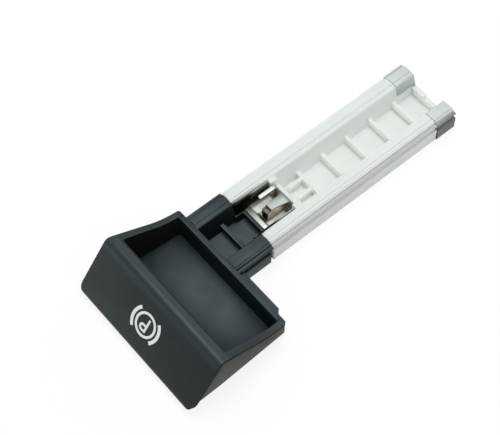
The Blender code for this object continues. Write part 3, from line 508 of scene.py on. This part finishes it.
def ribbon(centreLine, width, closed):
    # a band along a flat line: each point moves half the width to either side, square to the line
    ahead = np.roll(centreLine, -1, 0) - centreLine
    behind = centreLine - np.roll(centreLine, 1, 0)
    if not closed:
        ahead[-1] = behind[-1]
        behind[0] = ahead[0]
    way = ahead / np.linalg.norm(ahead, axis=1)[:, None] + behind / np.linalg.norm(behind, axis=1)[:, None]
    way /= np.linalg.norm(way, axis=1)[:, None]
    square = np.stack([-way[:, 1], way[:, 0]], 1)
    return centreLine + square * width / 2, centreLine - square * width / 2


def filmBand(centreLine, width, closed, film, lift):
    # the band as a thin closed film: four rows of points, each joined to the next and the last to the first
    outer, inner = ribbon(centreLine, width, closed)
    count = len(centreLine)
    rows = [(outer, lift), (inner, lift), (inner, lift + film), (outer, lift + film)]
    points = np.concatenate([np.column_stack([row, np.full(count, level)]) for row, level in rows])
    steps = np.arange(count if closed else count - 1)
    after = (steps + 1) % count
    faces = np.concatenate([
        np.column_stack([a * count + steps, a * count + after, b * count + after, b * count + steps])
        for a, b in ((0, 1), (1, 2), (2, 3), (3, 0))
    ])
    if not closed:
        ends = np.arange(4) * count
        faces = np.concatenate([faces, [ends[::-1], ends + count - 1]])
    return points, faces


def printedSymbol(look):
    # ring, two brackets and a letter P as bands: each has a centre line, a width, and closes or not
    turn = np.linspace(0, 360, look["ringSteps"], endpoint=False)
    ring = circlePart(turn, (look["ringOut"] + look["ringIn"]) / 2)
    bands = [(ring, look["ringOut"] - look["ringIn"], True)]
    for side in (0, 180):
        turn = np.linspace(side - look["bracketHalf"], side + look["bracketHalf"], look["bracketSteps"])
        bands.append((circlePart(turn, look["bracketMid"]), look["bracketWidth"], False))
    stem = np.array([(look["stem"], up * look["stemHalf"]) for up in (-1, 0, 1)])
    bands.append((stem, look["stroke"], False))
    # the bowl: straight out, a half circle, straight back
    middle = np.array(look["bowlMid"])
    bend = circlePart(np.linspace(90, 270, look["bowlSteps"]), look["bowlRadius"])
    ends = [(look["bowlFrom"], middle[1] + side * look["bowlRadius"]) for side in (1, -1)]
    bands.append((np.concatenate([ends[:1], middle + bend, ends[1:]]), look["stroke"], False))

    films = [filmBand(*band, look["film"], look["lift"]) for band in bands]
    starts = np.cumsum([0] + [len(points) for points, _ in films[:-1]])
    flat = np.concatenate([points for points, _ in films])
    faces = np.concatenate([part + start for (_, part), start in zip(films, starts)])
    # each flat point goes to the centre, plus its share of three directions square to one another
    lean = math.radians(look["lean"])
    rightWay = np.array([1.0, 0.0, 0.0])
    downWay = np.array([0.0, -math.sin(lean), -math.cos(lean)])
    outWay = np.array([0.0, -math.cos(lean), math.sin(lean)])
    centre = np.array(look["foot"]) - downWay * look["up"]
    placed = centre + flat[:, :1] * rightWay + flat[:, 1:2] * downWay + flat[:, 2:] * outWay

    mesh = bpy.data.meshes.new("printed_symbol")
    mesh.from_pydata(placed.tolist(), [], faces.tolist())
    shape = bmesh.new()
    shape.from_mesh(mesh)
    bmesh.ops.recalc_face_normals(shape, faces=shape.faces)
    shape.to_mesh(mesh)
    shape.free()
    mesh.materials.append(whiteInk)
    piece = bpy.data.objects.new("printed_symbol", mesh)
    bpy.context.scene.collection.objects.link(piece)
    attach(piece, "root")


printedSymbol(symbolLook)
print("symbol printed on the face")


# studio

paper = {
    "size": 6.0, "z": -0.02 * mm, "colour": "#e9e9e9", "roughness": 0.9, "sheen": 0.1,
    "glow": 1.06, "glowShare": 0.78,
}


def makeFloor(look):
    # flat square: corners at plus and minus half the size
    half = look["size"] / 2
    corners = [(x * half, y * half, look["z"]) for x, y in ((-1, -1), (1, -1), (1, 1), (-1, 1))]
    mesh = bpy.data.meshes.new("floor")
    mesh.from_pydata(corners, [], [(0, 1, 2, 3)])
    floor = bpy.data.objects.new("floor", mesh)
    bpy.context.scene.collection.objects.link(floor)
    material, tree, shader = startMaterial("white paper sweep", {
        "Base Color": fromHex(look["colour"]), "Roughness": look["roughness"],
        "Specular IOR Level": look["sheen"],
    })
    # seen by the camera or in a reflection it is mostly its own white, and still takes a shadow
    glow = addNode(tree, "Emission", {"Color": (1.0, 1.0, 1.0, 1.0), "Strength": look["glow"]})
    path = addNode(tree, "LightPath").outputs
    seen = calc(tree, "MAXIMUM", path["Is Camera Ray"], path["Is Glossy Ray"])
    seen = calc(tree, "MAXIMUM", seen, path["Is Transmission Ray"])
    share = times(tree, seen, look["glowShare"])
    mix = addNode(tree, "MixShader", links={0: share, 1: shader.outputs[0], 2: glow.outputs[0]})
    tree.links.new(mix.outputs[0], tree.nodes["Material Output"].inputs["Surface"])
    mesh.materials.append(material)


topLamp = {"place": (-0.15, 0.25, 0.82), "size": (0.6, 0.6), "power": 3.6}
backLamp = {"place": (-0.2, 0.9, 0.35), "size": (0.9, 0.4), "power": 0.7}


def softLamp(name, look):
    # a soft box that shines on the middle of the table
    data = bpy.data.lights.new(name, "AREA")
    data.shape = "RECTANGLE"
    data.size, data.size_y = look["size"]
    data.energy = look["power"]
    lamp = bpy.data.objects.new(name, data)
    lamp.location = look["place"]
    lamp.rotation_euler = (-Vector(look["place"])).to_track_quat("-Z", "Y").to_euler()
    bpy.context.scene.collection.objects.link(lamp)


room = {"light": 0.62}


def makeRoom(look):
    # soft light from all sides; the camera sees plain white
    world = bpy.data.worlds.new("soft room")
    bpy.context.scene.world = world
    world.use_nodes = True
    tree = world.node_tree
    light = tree.nodes["Background"]
    light.inputs["Color"].default_value = (1.0, 1.0, 1.0, 1.0)
    light.inputs["Strength"].default_value = look["light"]
    white = addNode(tree, "Background", {"Color": (1.0, 1.0, 1.0, 1.0), "Strength": 1.0})
    seen = addNode(tree, "LightPath").outputs["Is Camera Ray"]
    pick = addNode(tree, "MixShader", links={0: seen, 1: light.outputs[0], 2: white.outputs[0]})
    tree.links.new(pick.outputs[0], tree.nodes["World Output"].inputs["Surface"])


photoCamera = {
    "place": (0.2075, -0.2014, 0.4918), "turn": (30.9, 0.0, 49.8),
    "lens": 97.92, "sensor": 36.0, "near": 0.01,
}


def makeCamera(look):
    camera = bpy.data.objects.new("photo camera", bpy.data.cameras.new("photo camera"))
    camera.data.lens = look["lens"]
    camera.data.sensor_width = look["sensor"]
    camera.data.sensor_fit = "HORIZONTAL"
    camera.data.clip_start = look["near"]
    camera.location = look["place"]
    camera.rotation_euler = [math.radians(angle) for angle in look["turn"]]
    bpy.context.scene.collection.objects.link(camera)
    bpy.context.scene.camera = camera


makeFloor(paper)
softLamp("top softbox", topLamp)
softLamp("back softbox", backLamp)
makeRoom(room)
makeCamera(photoCamera)
bpy.context.scene.view_settings.view_transform = "Standard"
print("studio and camera set")
